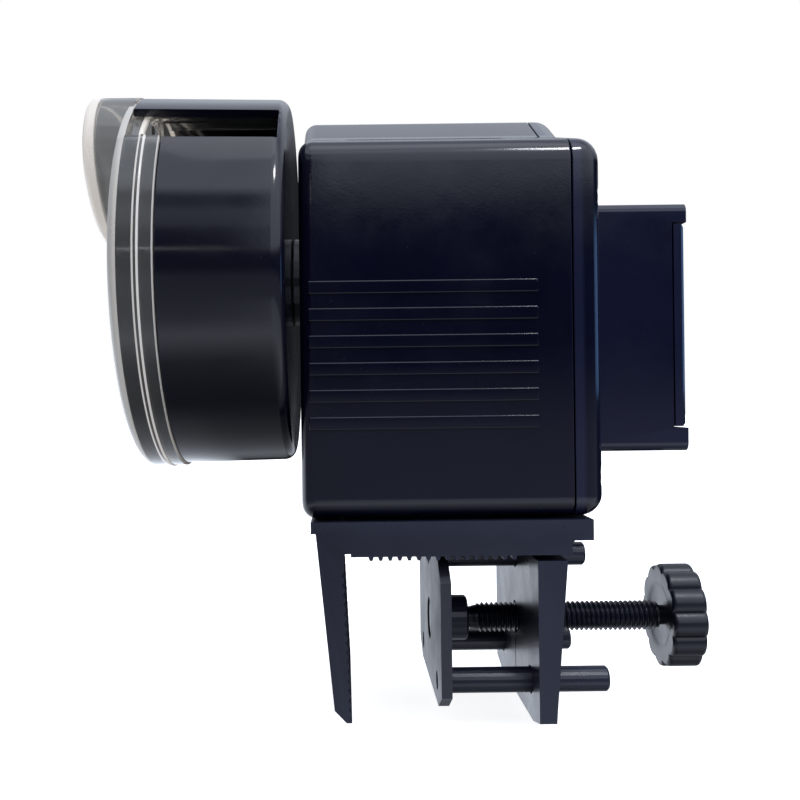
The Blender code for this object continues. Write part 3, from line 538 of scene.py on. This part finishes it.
def build_display():
    """Generic clock digits on the LCD, seen through the smoked lens."""
    tilt, level = panel_slope()
    low, high = extent("lcd_module")
    middle = Vector(((low.x + high.x) / 2, PANEL_Y, level + PANEL_Y * math.tan(tilt)))
    place = Matrix.Translation(middle) @ Matrix.Rotation(tilt, 4, "X")
    strokes = {"1": "bc", "2": "abged", "0": "abcdef"}
    bars = {
        "a": (-0.9, 2.2, 0.9, 2.6), "g": (-0.9, -0.2, 0.9, 0.2), "d": (-0.9, -2.6, 0.9, -2.2),
        "b": (1.0, 0.2, 1.4, 2.3), "c": (1.0, -2.3, 1.4, -0.2),
        "e": (-1.4, -2.3, -1.0, -0.2), "f": (-1.4, 0.2, -1.0, 2.3),
    }
    for position, digit in zip((-8.0, -3.6, 3.0, 7.4), "1200"):
        for stroke in strokes[digit]:
            a, b, c, d = bars[stroke]
            bm = block((position + a, LENS_V + b, -1.99), (position + c, LENS_V + d, -1.9), 0.03, 1)
            bmesh.ops.transform(bm, matrix=place, verts=bm.verts)
            finish_piece(f"lcd_bar_{int(position * 10 + 100)}_{stroke}", bm, "housing", SEGMENT)
    for rise in (-1.2, 1.2):
        bm = block((-0.55, LENS_V + rise - 0.25, -1.99), (-0.05, LENS_V + rise + 0.25, -1.9), 0.03, 1)
        bmesh.ops.transform(bm, matrix=place, verts=bm.verts)
        finish_piece(f"lcd_colon_{'low' if rise < 0 else 'high'}", bm, "housing", SEGMENT)


# ---------------------------------------------------------------- drum and lid

def around(radius, degrees):
    """A point in the Y, Z plane, by its angle from the top towards -Y."""
    angle = math.radians(degrees)
    return (-radius * math.sin(angle), AXIS_Z + radius * math.cos(angle))


def sector(inner, outer, first, last, steps):
    """The outline between two radii and two angles."""
    sweep = [first + (last - first) * k / steps for k in range(steps + 1)]
    return [around(inner, a) for a in sweep] + [around(outer, a) for a in reversed(sweep)]


def arc_points(centre_x, centre_r, radius, first, last, steps):
    """Profile points of a fillet, by degrees from +X towards outwards."""
    angles = [math.radians(first + (last - first) * k / steps) for k in range(steps + 1)]
    return [(centre_x + radius * math.cos(a), centre_r + radius * math.sin(a)) for a in angles]


def build_drum():
    """The drum: a turned cup, closed at the housing end, with the food slot cut through wall and mouth."""
    left, right, wall, axis = DRUM_LOW.x, DRUM_HIGH.x, 1.5, (0, AXIS_Z)
    r_right, corner, floor = DRUM_R - 0.5, 2.2, right - 1.3
    outer = [(right, 6.8), (right, r_right - 5.0)]
    outer += arc_points(right - corner, r_right - corner, corner, 0, 90, 8)
    outer += [(left + 0.25, DRUM_R), (left, DRUM_R - 0.25)]
    outer += [(left, DRUM_R - wall + 0.2), (left + 0.2, DRUM_R - wall)]
    inner = arc_points(floor - 1.0, r_right - wall - 1.0, 1.0, 90, 0, 4) + [(floor, 9.0), (floor, 6.8)]
    bm = turned(outer + inner, axis, DRUM_STEPS)
    drum = finish_piece("food_drum", bm, "drum", DRUM_BLACK)
    slot = [around(r_right - 4, a) for a in (SLOT_NEAR, SLOT_FAR)]
    slot += [around(DRUM_R + 4, a) for a in (SLOT_FAR, SLOT_NEAR)]
    combine(drum, loft([(left - 1, slot), (SLOT_RIGHT, slot)]))
    seat = sector(SEAT_R, CUT_R, SLOT_NEAR - 1.5, 360.5 - SKIRT_END, ROUND_STEPS)
    combine(drum, loft([(left - 1, seat), (LID_HIGH.x + GAP, seat)]))
    soften(drum, 0.22, 2, 60)
    hub_left, hub_right = right - 6.2, right - 1.5
    hub = [(hub_left, 4.9), (hub_left, 8.9), (hub_right, 8.9), (hub_right, 6.6), (hub_right, 4.9)]
    finish_piece("drum_hub", turned(hub, axis, 64), "drum", DRUM_BLACK)
    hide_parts("drum_body")


def build_shutter():
    """The clear sleeve in the drum's mouth with its end edge frosted and given a painted glow, its curved
    blade and its finger tab.
    """
    low, high = extent("portion_shutter")
    outer, right, edge, band = high.y, low.x + SLEEVE_LENGTH, 0.2, 0.8
    inner = outer - SLEEVE_WALL
    profile = [(low.x, inner), (low.x, outer - edge), (low.x + edge, outer), (right - band, outer)]
    profile += [(right - edge, outer), (right, outer - edge), (right, inner), (right - band, inner)]
    bm = turned(profile, (0, AXIS_Z), DRUM_STEPS)
    shutter = finish_piece("clear_shutter", bm, "shutter", CLEAR)
    blade = (DRUM_R - 3.3, DRUM_R - 2.4, -8.0, 33.0, low.x + 0.3, high.x)
    tab = (27.0, DRUM_R - 2.4, -4.0, 4.0, low.x, low.x + 1.6)
    for r_low, r_high, first, last, x_low, x_high in (blade, tab):
        outline = sector(r_low, r_high, first, last, 24)
        combine(shutter, loft([(x_low, outline), (x_high, outline)]), "UNION")
    # The end band gets the frosted lobe material, whose emission is a painted glow standing in for light on
    # that edge.
    shutter.data.materials.append(PAINTED_GLOW_LOBE)
    for face in shutter.data.polygons:
        x = face.center.x / MM
        if right - band < x < right + 0.01:
            face.material_index = 1
    soften(shutter, 0.08, 2, 45)
    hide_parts("portion_shutter")


def lobe_outline(inset=0.0):
    """The lid's thumb lobe: the rim's arc above, two tighter corner arcs, and a wide arc below."""
    rim_r, corner_r, tilt = 37.2, 11.5, math.radians(21.1)
    rim, corner = rim_r - inset, corner_r - inset
    centre = Vector((-(rim_r - corner_r) * math.sin(tilt), (rim_r - corner_r) * math.cos(tilt)))
    low = Vector((0.0, 30.0))
    start = math.atan2((centre - low).y, (centre - low).x) % (2 * math.pi)
    bottom_r = (centre - low).length + corner
    steps = 24
    top = [tilt - 2 * tilt * k / steps for k in range(steps + 1)]
    points = [(rim * math.sin(a), rim * math.cos(a)) for a in top]
    side = [math.pi / 2 + tilt + (start - math.pi / 2 - tilt) * k / steps for k in range(1, steps + 1)]
    points += [(centre.x + corner * math.cos(a), centre.y + corner * math.sin(a)) for a in side]
    span = 3 * math.pi - 2 * start
    bottom = [start + span * k / steps for k in range(1, steps + 1)]
    points += [(low.x + bottom_r * math.cos(a), low.y + bottom_r * math.sin(a)) for a in bottom]
    points += [(-centre.x - corner * math.cos(a), centre.y + corner * math.sin(a)) for a in side[-2::-1]]
    return [(y, AXIS_Z + z) for y, z in points]


def build_lid():
    """The clear lid: a dish with a beaded skirt, cut away at the top, and the hollow thumb lobe; its rims and
    lobe carry a painted glow and its bead's flanks painted highlight lines.
    """
    left, right, outer = LID_LOW.x + 8.2, LID_HIGH.x, LID_HIGH.y - BEAD_PROUD
    inner, fillet, bead = outer - 0.9, 2.2, LID_HIGH.x - 3.0
    profile = [(left + 1.3, 0), (left + 1.3, inner - 0.4), (left + 1.7, inner)]
    profile += [(right - 0.1, inner), (right, inner + 0.1), (right, outer - 0.2), (right - 0.2, outer)]
    profile += [(bead + 0.75, outer), (bead + 0.6, outer + 0.05)]
    arch = [math.pi * k / 8 for k in range(1, 8)]
    profile += [(bead + 0.6 * math.cos(a), outer + 0.05 + (BEAD_PROUD - 0.05) * math.sin(a)) for a in arch]
    profile += [(bead - 0.6, outer + 0.05), (bead - 0.75, outer)]
    angles = [math.pi / 2 * k / 10 for k in range(10, -1, -1)]
    profile += [(left + fillet * (1 - math.cos(a)), outer - fillet * (1 - math.sin(a))) for a in angles]
    profile += [(left, 0)]
    lid = finish_piece("clear_lid", turned(profile, (0, AXIS_Z), 192), "lid", CLEAR)
    wedge = sector(CUT_R, inner - 0.1, -SKIRT_END, SKIRT_END, 24)
    combine(lid, loft([(left - 1, wedge), (right + 1, wedge)]))
    edge = DRUM_LOW.x - 0.6
    band = LID_LOW.x + LOBE_BAND
    lobe = rounded_end(LID_LOW.x, 1, 1.2, lobe_outline, steps=6)
    combine(lid, loft(lobe + [(band, lobe_outline()), (edge, lobe_outline())]), "UNION")
    hollow = rounded_end(LID_LOW.x + 2.0, 1, 0.8, lobe_outline, 1.2, 4)
    combine(lid, loft(hollow + [(right + 2, lobe_outline(1.2))]))
    # Faces for the glowing materials: rims and lobe get a painted glow, the bead's flanks painted highlight
    # lines.
    for surface in (PAINTED_GLOW_RIM, PAINTED_HIGHLIGHT_BEAD, PAINTED_GLOW_LOBE):
        lid.data.materials.append(surface)
    for face in lid.data.polygons:
        x = face.center.x / MM
        r = math.hypot(face.center.y / MM, face.center.z / MM - AXIS_Z)
        on_lobe = x < band and abs(face.normal.x) < 0.85
        on_rim = left - 0.1 < x < left + 1.9 and r > outer - 1.9 or (x > right - 0.25 and r > inner)
        if on_lobe:
            face.material_index = 3
        elif on_rim:
            face.material_index = 1
        # The bead's two flanks: painted highlight lines.
        elif r > outer - 0.1 and 0.32 < abs(x - bead) < 0.61:
            face.material_index = 2
    soften(lid, 0.1, 2, 45)
    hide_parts("drum_lid")


# ---------------------------------------------------------------- clamp

def build_thread():
    """The clamp screw with its 1 mm thread as real geometry."""
    pitch, major, minor = 1.0, 3.05, 2.5
    start, end = 24.0, KNOB_LOW.x - 0.3
    per_pitch, steps = 10, 48
    count = int((end - start) * per_pitch / pitch)
    bm = bmesh.new()
    rings = []
    for x, radius in ((15.0, 3.4), (15.4, 3.8), (16.7, 3.8), (16.7, 2.2), (23.0, 2.2)):
        rings.append([(x, radius)] * steps)
    for k in range(count + 1):
        x = start + (end - start) * k / count
        fade = min(1.0, (x - start) / 1.2, (end - x) / 1.2 + 0.2)
        ring = []
        for i in range(steps):
            phase = (x / pitch - i / steps) % 1.0
            height = max(0.0, min(1.0, 2.4 * (0.5 - abs(phase - 0.5)) - 0.15))
            ring.append((x, minor + (major - minor) * height * fade))
        rings.append(ring)
    rings += [[(end, 2.0)] * steps, [(67.5, 2.0)] * steps]
    made = []
    for ring in rings:
        points = [(x, r, 2 * math.pi * i / steps) for i, (x, r) in enumerate(ring)]
        made.append([bm.verts.new((x, r * math.cos(a), SCREW_Z + r * math.sin(a))) for x, r, a in points])
    rings_to_mesh(bm, made)
    screw = finish_piece("threaded_screw", bm, "screw", SATIN, 55)
    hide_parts("clamp_screw")


def build_knob():
    """A lobed knob with rounded rims and a shallow dished face."""
    low, high, outer, lobes = KNOB_LOW.x, KNOB_HIGH.x, 10.6, 12

    def outline(inset):
        points = []
        for i in range(lobes * 14):
            angle = 2 * math.pi * i / (lobes * 14)
            valley = 1 - abs(math.cos(lobes * angle / 2)) ** 0.7
            radius = outer - inset - valley * max(0.0, 1 - inset / 4)
            points.append((radius * math.cos(angle), SCREW_Z + radius * math.sin(angle)))
        return points

    sections = [(low + 0.9, outline(6.0)), (low + 0.3, outline(4.2)), (low, outline(3.2))]
    sections += rounded_end(low, 1, 0.9, outline) + rounded_end(high, -1, 0.9, outline)[::-1]
    sections += [(high, outline(2.2)), (high - 0.5, outline(2.8)), (high - 0.7, outline(5.5))]
    knob = finish_piece("lobed_knob", loft(sections), "screw", SATIN, 50)
    soften(knob, 0)
    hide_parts("clamp_knob")


# ---------------------------------------------------------------- studio

def area_light(name, place, target, size, power, colour):
    """A rectangular light aimed at a point."""
    lamp = bpy.data.lights.new(name, "AREA")
    lamp.shape = "RECTANGLE"
    lamp.size, lamp.size_y = size
    lamp.energy = power
    lamp.color = colour
    made = bpy.data.objects.new(name, lamp)
    made.location = place
    made.rotation_euler = (Vector(target) - Vector(place)).to_track_quat("-Z", "Y").to_euler()
    bpy.context.scene.collection.objects.link(made)


def remap(tree, value):
    """From -1..1 to 0..1."""
    node = add(tree, "ShaderNodeMath", operation="MULTIPLY_ADD")
    tree.links.new(value, node.inputs[0])
    node.inputs[1].default_value = 0.5
    node.inputs[2].default_value = 0.5
    return node.outputs[0]


def stops(tree, source, places):
    """A grey ramp through (position, level) stops, over a source from -1 to 1."""
    node = tree.nodes.new("ShaderNodeValToRGB")
    tree.links.new(remap(tree, source), node.inputs["Fac"])
    band = node.color_ramp
    while len(band.elements) < len(places):
        band.elements.new(0.5)
    for element, (place, level) in zip(band.elements, places):
        element.position = (place + 1) / 2
        element.color = (level * 0.91, level * 0.98, level * 1.11, 1.0)
    return node.outputs["Color"]


# Brightness of the room in reflections, by how high the reflected ray points (-1 down, 1 up).
FRONT_RIGHT_LIGHT = [
    (-1.0, 0.10), (-0.80, 0.50), (-0.60, 0.95), (-0.40, 0.80), (-0.30, 0.70), (-0.24, 0.32), (-0.04, 0.26),
    (0.04, 0.02), (0.185, 0.02), (0.21, 0.25), (0.23, 1.15), (0.75, 1.40), (0.86, 1.90), (1.0, 1.50),
]
FRONT_LEFT_LIGHT = [
    (-1.0, 0.10), (-0.80, 0.25), (-0.60, 0.95), (-0.45, 0.45), (-0.26, 0.32), (-0.04, 0.26), (0.04, 0.06),
    (0.30, 0.05), (0.42, 0.14), (0.48, 0.48), (0.60, 0.60), (0.66, 0.28), (0.72, 0.28), (0.79, 1.50),
    (1.0, 1.20),
]
LEFT_BACK_LIGHT = [
    (-1.0, 0.30), (-0.6, 1.00), (-0.3, 1.70), (-0.05, 1.70), (0.15, 0.50), (0.35, 0.45), (0.6, 0.90),
    (0.9, 0.60), (1.0, 1.25),
]
RIGHT_BACK_LIGHT = [
    (-1.0, 0.20), (-0.6, 0.50), (-0.3, 0.02), (0.24, 0.02), (0.36, 0.50), (0.6, 0.95), (0.9, 0.60),
    (1.0, 1.25),
]
THROUGH_LIGHT = 0.16


def blend(tree, value, start, end):
    """0 to 1 as a direction's coordinate goes from start to end."""
    node = tree.nodes.new("ShaderNodeMapRange")
    node.inputs["From Min"].default_value = start
    node.inputs["From Max"].default_value = end
    tree.links.new(value, node.inputs["Value"])
    return node.outputs["Result"]


def mixed(tree, factor, first, second):
    """The colour between two others."""
    node = add(tree, "ShaderNodeMix", data_type="RGBA")
    tree.links.new(factor, node.inputs["Factor"])
    tree.links.new(first, node.inputs["A"])
    tree.links.new(second, node.inputs["B"])
    return node.outputs["Result"]


def build_world():
    """White to the camera, grey through clear plastic, and a softly banded room in reflections."""
    world = bpy.data.worlds.new("studio")
    bpy.context.scene.world = world
    world.use_nodes = True
    tree = world.node_tree
    tree.nodes.clear()
    split = tree.nodes.new("ShaderNodeSeparateXYZ")
    tree.links.new(tree.nodes.new("ShaderNodeTexCoord").outputs["Generated"], split.inputs["Vector"])
    across, along, up = (split.outputs[axis] for axis in "XYZ")
    behind = mixed(tree, blend(tree, across, -0.10, -0.15),
                   stops(tree, up, RIGHT_BACK_LIGHT), stops(tree, up, LEFT_BACK_LIGHT))
    front = mixed(tree, blend(tree, across, -0.02, -0.05),
                  stops(tree, up, FRONT_RIGHT_LIGHT), stops(tree, up, FRONT_LEFT_LIGHT))
    room = mixed(tree, blend(tree, along, -0.10, 0.20), front, behind)
    soft, through, white = (tree.nodes.new("ShaderNodeBackground") for _ in range(3))
    tree.links.new(room, soft.inputs["Color"])
    through.inputs["Color"].default_value = (THROUGH_LIGHT, THROUGH_LIGHT * 1.01, THROUGH_LIGHT * 1.03, 1.0)
    white.inputs["Color"].default_value = (1.0, 1.0, 1.0, 1.0)
    seen = tree.nodes.new("ShaderNodeLightPath")
    last = soft.outputs[0]
    for ray, light in (("Is Transmission Ray", through), ("Is Camera Ray", white)):
        choose = tree.nodes.new("ShaderNodeMixShader")
        tree.links.new(seen.outputs[ray], choose.inputs["Fac"])
        tree.links.new(last, choose.inputs[1])
        tree.links.new(light.outputs[0], choose.inputs[2])
        last = choose.outputs[0]
    out = tree.nodes.new("ShaderNodeOutputWorld")
    tree.links.new(last, out.inputs["Surface"])


def build_studio():
    """The world, four small area lights and a pale floor."""
    build_world()
    area_light("overhead", (0.02, -0.06, 0.60), (0, 0, 0.05), (0.30, 0.20), 0.12, (0.96, 0.98, 1.0))
    area_light("over_right", (0.19, -0.25, 0.56), (0.03, 0, 0.08), (0.12, 0.07), 0.90, (0.95, 0.98, 1.0))
    area_light("low_strip", (-0.12, -0.54, 0.184), (-0.03, 0, 0.055), (0.12, 0.005), 0.006, (1.0, 1.0, 1.0))
    area_light("right_strip", (0.42, 0.07, 0.08), (0.045, -0.02, 0.06), (0.20, 0.10), 0.08, (0.25, 0.50, 1.0))

    half = 3.0
    mesh = bpy.data.meshes.new("floor")
    corners = [(-half, -half, 0), (half, -half, 0), (half, half, 0), (-half, half, 0)]
    mesh.from_pydata(corners, [], [(0, 1, 2, 3)])
    floor = bpy.data.objects.new("floor", mesh)
    floor.location = (0, 0, cad_box[0][2] - 0.002)
    bpy.context.scene.collection.objects.link(floor)
    made, _, shader = node_material("pale_floor")
    shader.inputs["Base Color"].default_value = (0.92, 0.92, 0.92, 1)
    shader.inputs["Roughness"].default_value = 0.9
    shader.inputs["Emission Color"].default_value = (1, 1, 1, 1)
    shader.inputs["Emission Strength"].default_value = 0.85
    mesh.materials.append(made)
    floor.visible_glossy = False
    floor.visible_diffuse = False
    floor.visible_transmission = False


def build_camera():
    """The main view, level with the middle of the feeder and rolled by a fraction of a degree."""
    lens, sensor, distance = 43.0, 36.0, 0.199
    camera = bpy.data.objects.new("camera", bpy.data.cameras.new("camera"))
    camera.data.lens = lens
    camera.data.sensor_width = sensor
    camera.data.shift_x = 0.07
    camera.data.clip_start = 0.01
    camera.location = (-0.0025, -distance, 0.0288)
    camera.rotation_euler = (math.radians(90), math.radians(0.7), 0)
    bpy.context.scene.collection.objects.link(camera)
    bpy.context.scene.camera = camera
    bpy.context.scene.view_settings.view_transform = "Standard"


dress_cad()
build_shell()
build_ribs()
build_end_cover()
build_screw_heads()
build_display()
build_drum()
build_shutter()
build_lid()
build_thread()
build_knob()
build_studio()
build_camera()
